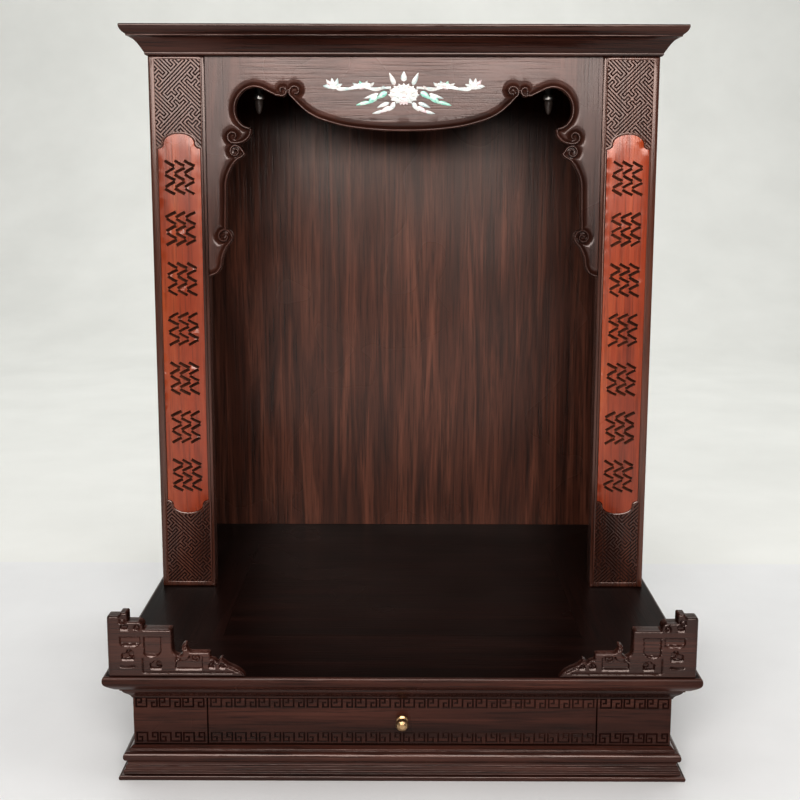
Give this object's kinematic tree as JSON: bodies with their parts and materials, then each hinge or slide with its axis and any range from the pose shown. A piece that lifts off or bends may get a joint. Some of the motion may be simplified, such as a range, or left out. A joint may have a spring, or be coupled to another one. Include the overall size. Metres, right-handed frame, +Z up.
{
  "type": "household altar cabinet",
  "caption": "Open-fronted wooden household altar cabinet with carved posts, scrolled apron, cornice, carved corner frets and a drawer in its moulded base.",
  "frame": {"origin": "on the floor, at the middle of the outline", "axes": "+X to the viewer's right, +Y towards the back, +Z up; the open front faces -Y"},
  "size_m": [0.648, 0.6, 0.788],
  "materials": {
    "rosewood": "satin oiled dark rosewood",
    "carved_rosewood": "satin oiled dark rosewood, carved",
    "back_wood": "satin dark reddish rosewood with figured grain",
    "drawer_wood": "plain oiled wood",
    "red_wood": "satin orange-red padauk",
    "brass": "polished",
    "pearl": "polished mother-of-pearl",
    "lamp_metal": "polished",
    "lamp_glass": "glossy frosted"
  },
  "bodies": {
    "cabinet": {"plinth_left": "rosewood", "plinth_right": "rosewood", "plinth_front": "rosewood", "plinth_back": "rosewood", "base_panel_left": "rosewood", "base_panel_right": "rosewood", "base_side_left": "rosewood", "base_side_right": "rosewood", "base_back": "rosewood", "base_bottom": "rosewood", "ledge_moulding_front": "rosewood", "ledge_moulding_left": "rosewood", "ledge_moulding_right": "rosewood", "ledge_rail_left": "rosewood", "ledge_rail_right": "rosewood", "ledge_rail_front": "rosewood", "ledge_rail_back": "rosewood", "ledge_panel": "rosewood", "cabinet_side_left": "rosewood", "cabinet_side_right": "rosewood", "cabinet_ceiling": "rosewood", "cornice_left": "rosewood", "cornice_right": "rosewood", "cornice_front": "rosewood", "cornice_back": "rosewood", "roof_panel": "rosewood", "corner_fret_left": "carved_rosewood", "corner_fret_right": "carved_rosewood", "post_left": "carved_rosewood", "post_right": "carved_rosewood", "apron": "carved_rosewood", "cabinet_back": "back_wood", "drawer_guide_left": "drawer_wood", "drawer_guide_right": "drawer_wood", "couplet_inset_left": "red_wood", "couplet_inset_right": "red_wood", "lotus_inlay": "pearl", "lamp_holder_left": "lamp_metal", "lamp_holder_right": "lamp_metal", "lamp_bulb_left": "lamp_glass", "lamp_bulb_right": "lamp_glass"},
    "drawer": {"drawer_front": "rosewood", "drawer_side_left": "drawer_wood", "drawer_side_right": "drawer_wood", "drawer_back": "drawer_wood", "drawer_bottom": "drawer_wood", "drawer_knob": "brass"}
  },
  "joints": [
    {"name": "drawer_slide", "type": "slide", "parent": "cabinet", "child": "drawer", "axis": [0, -1, 0], "range_m": [0, 0.28]}
  ]
}
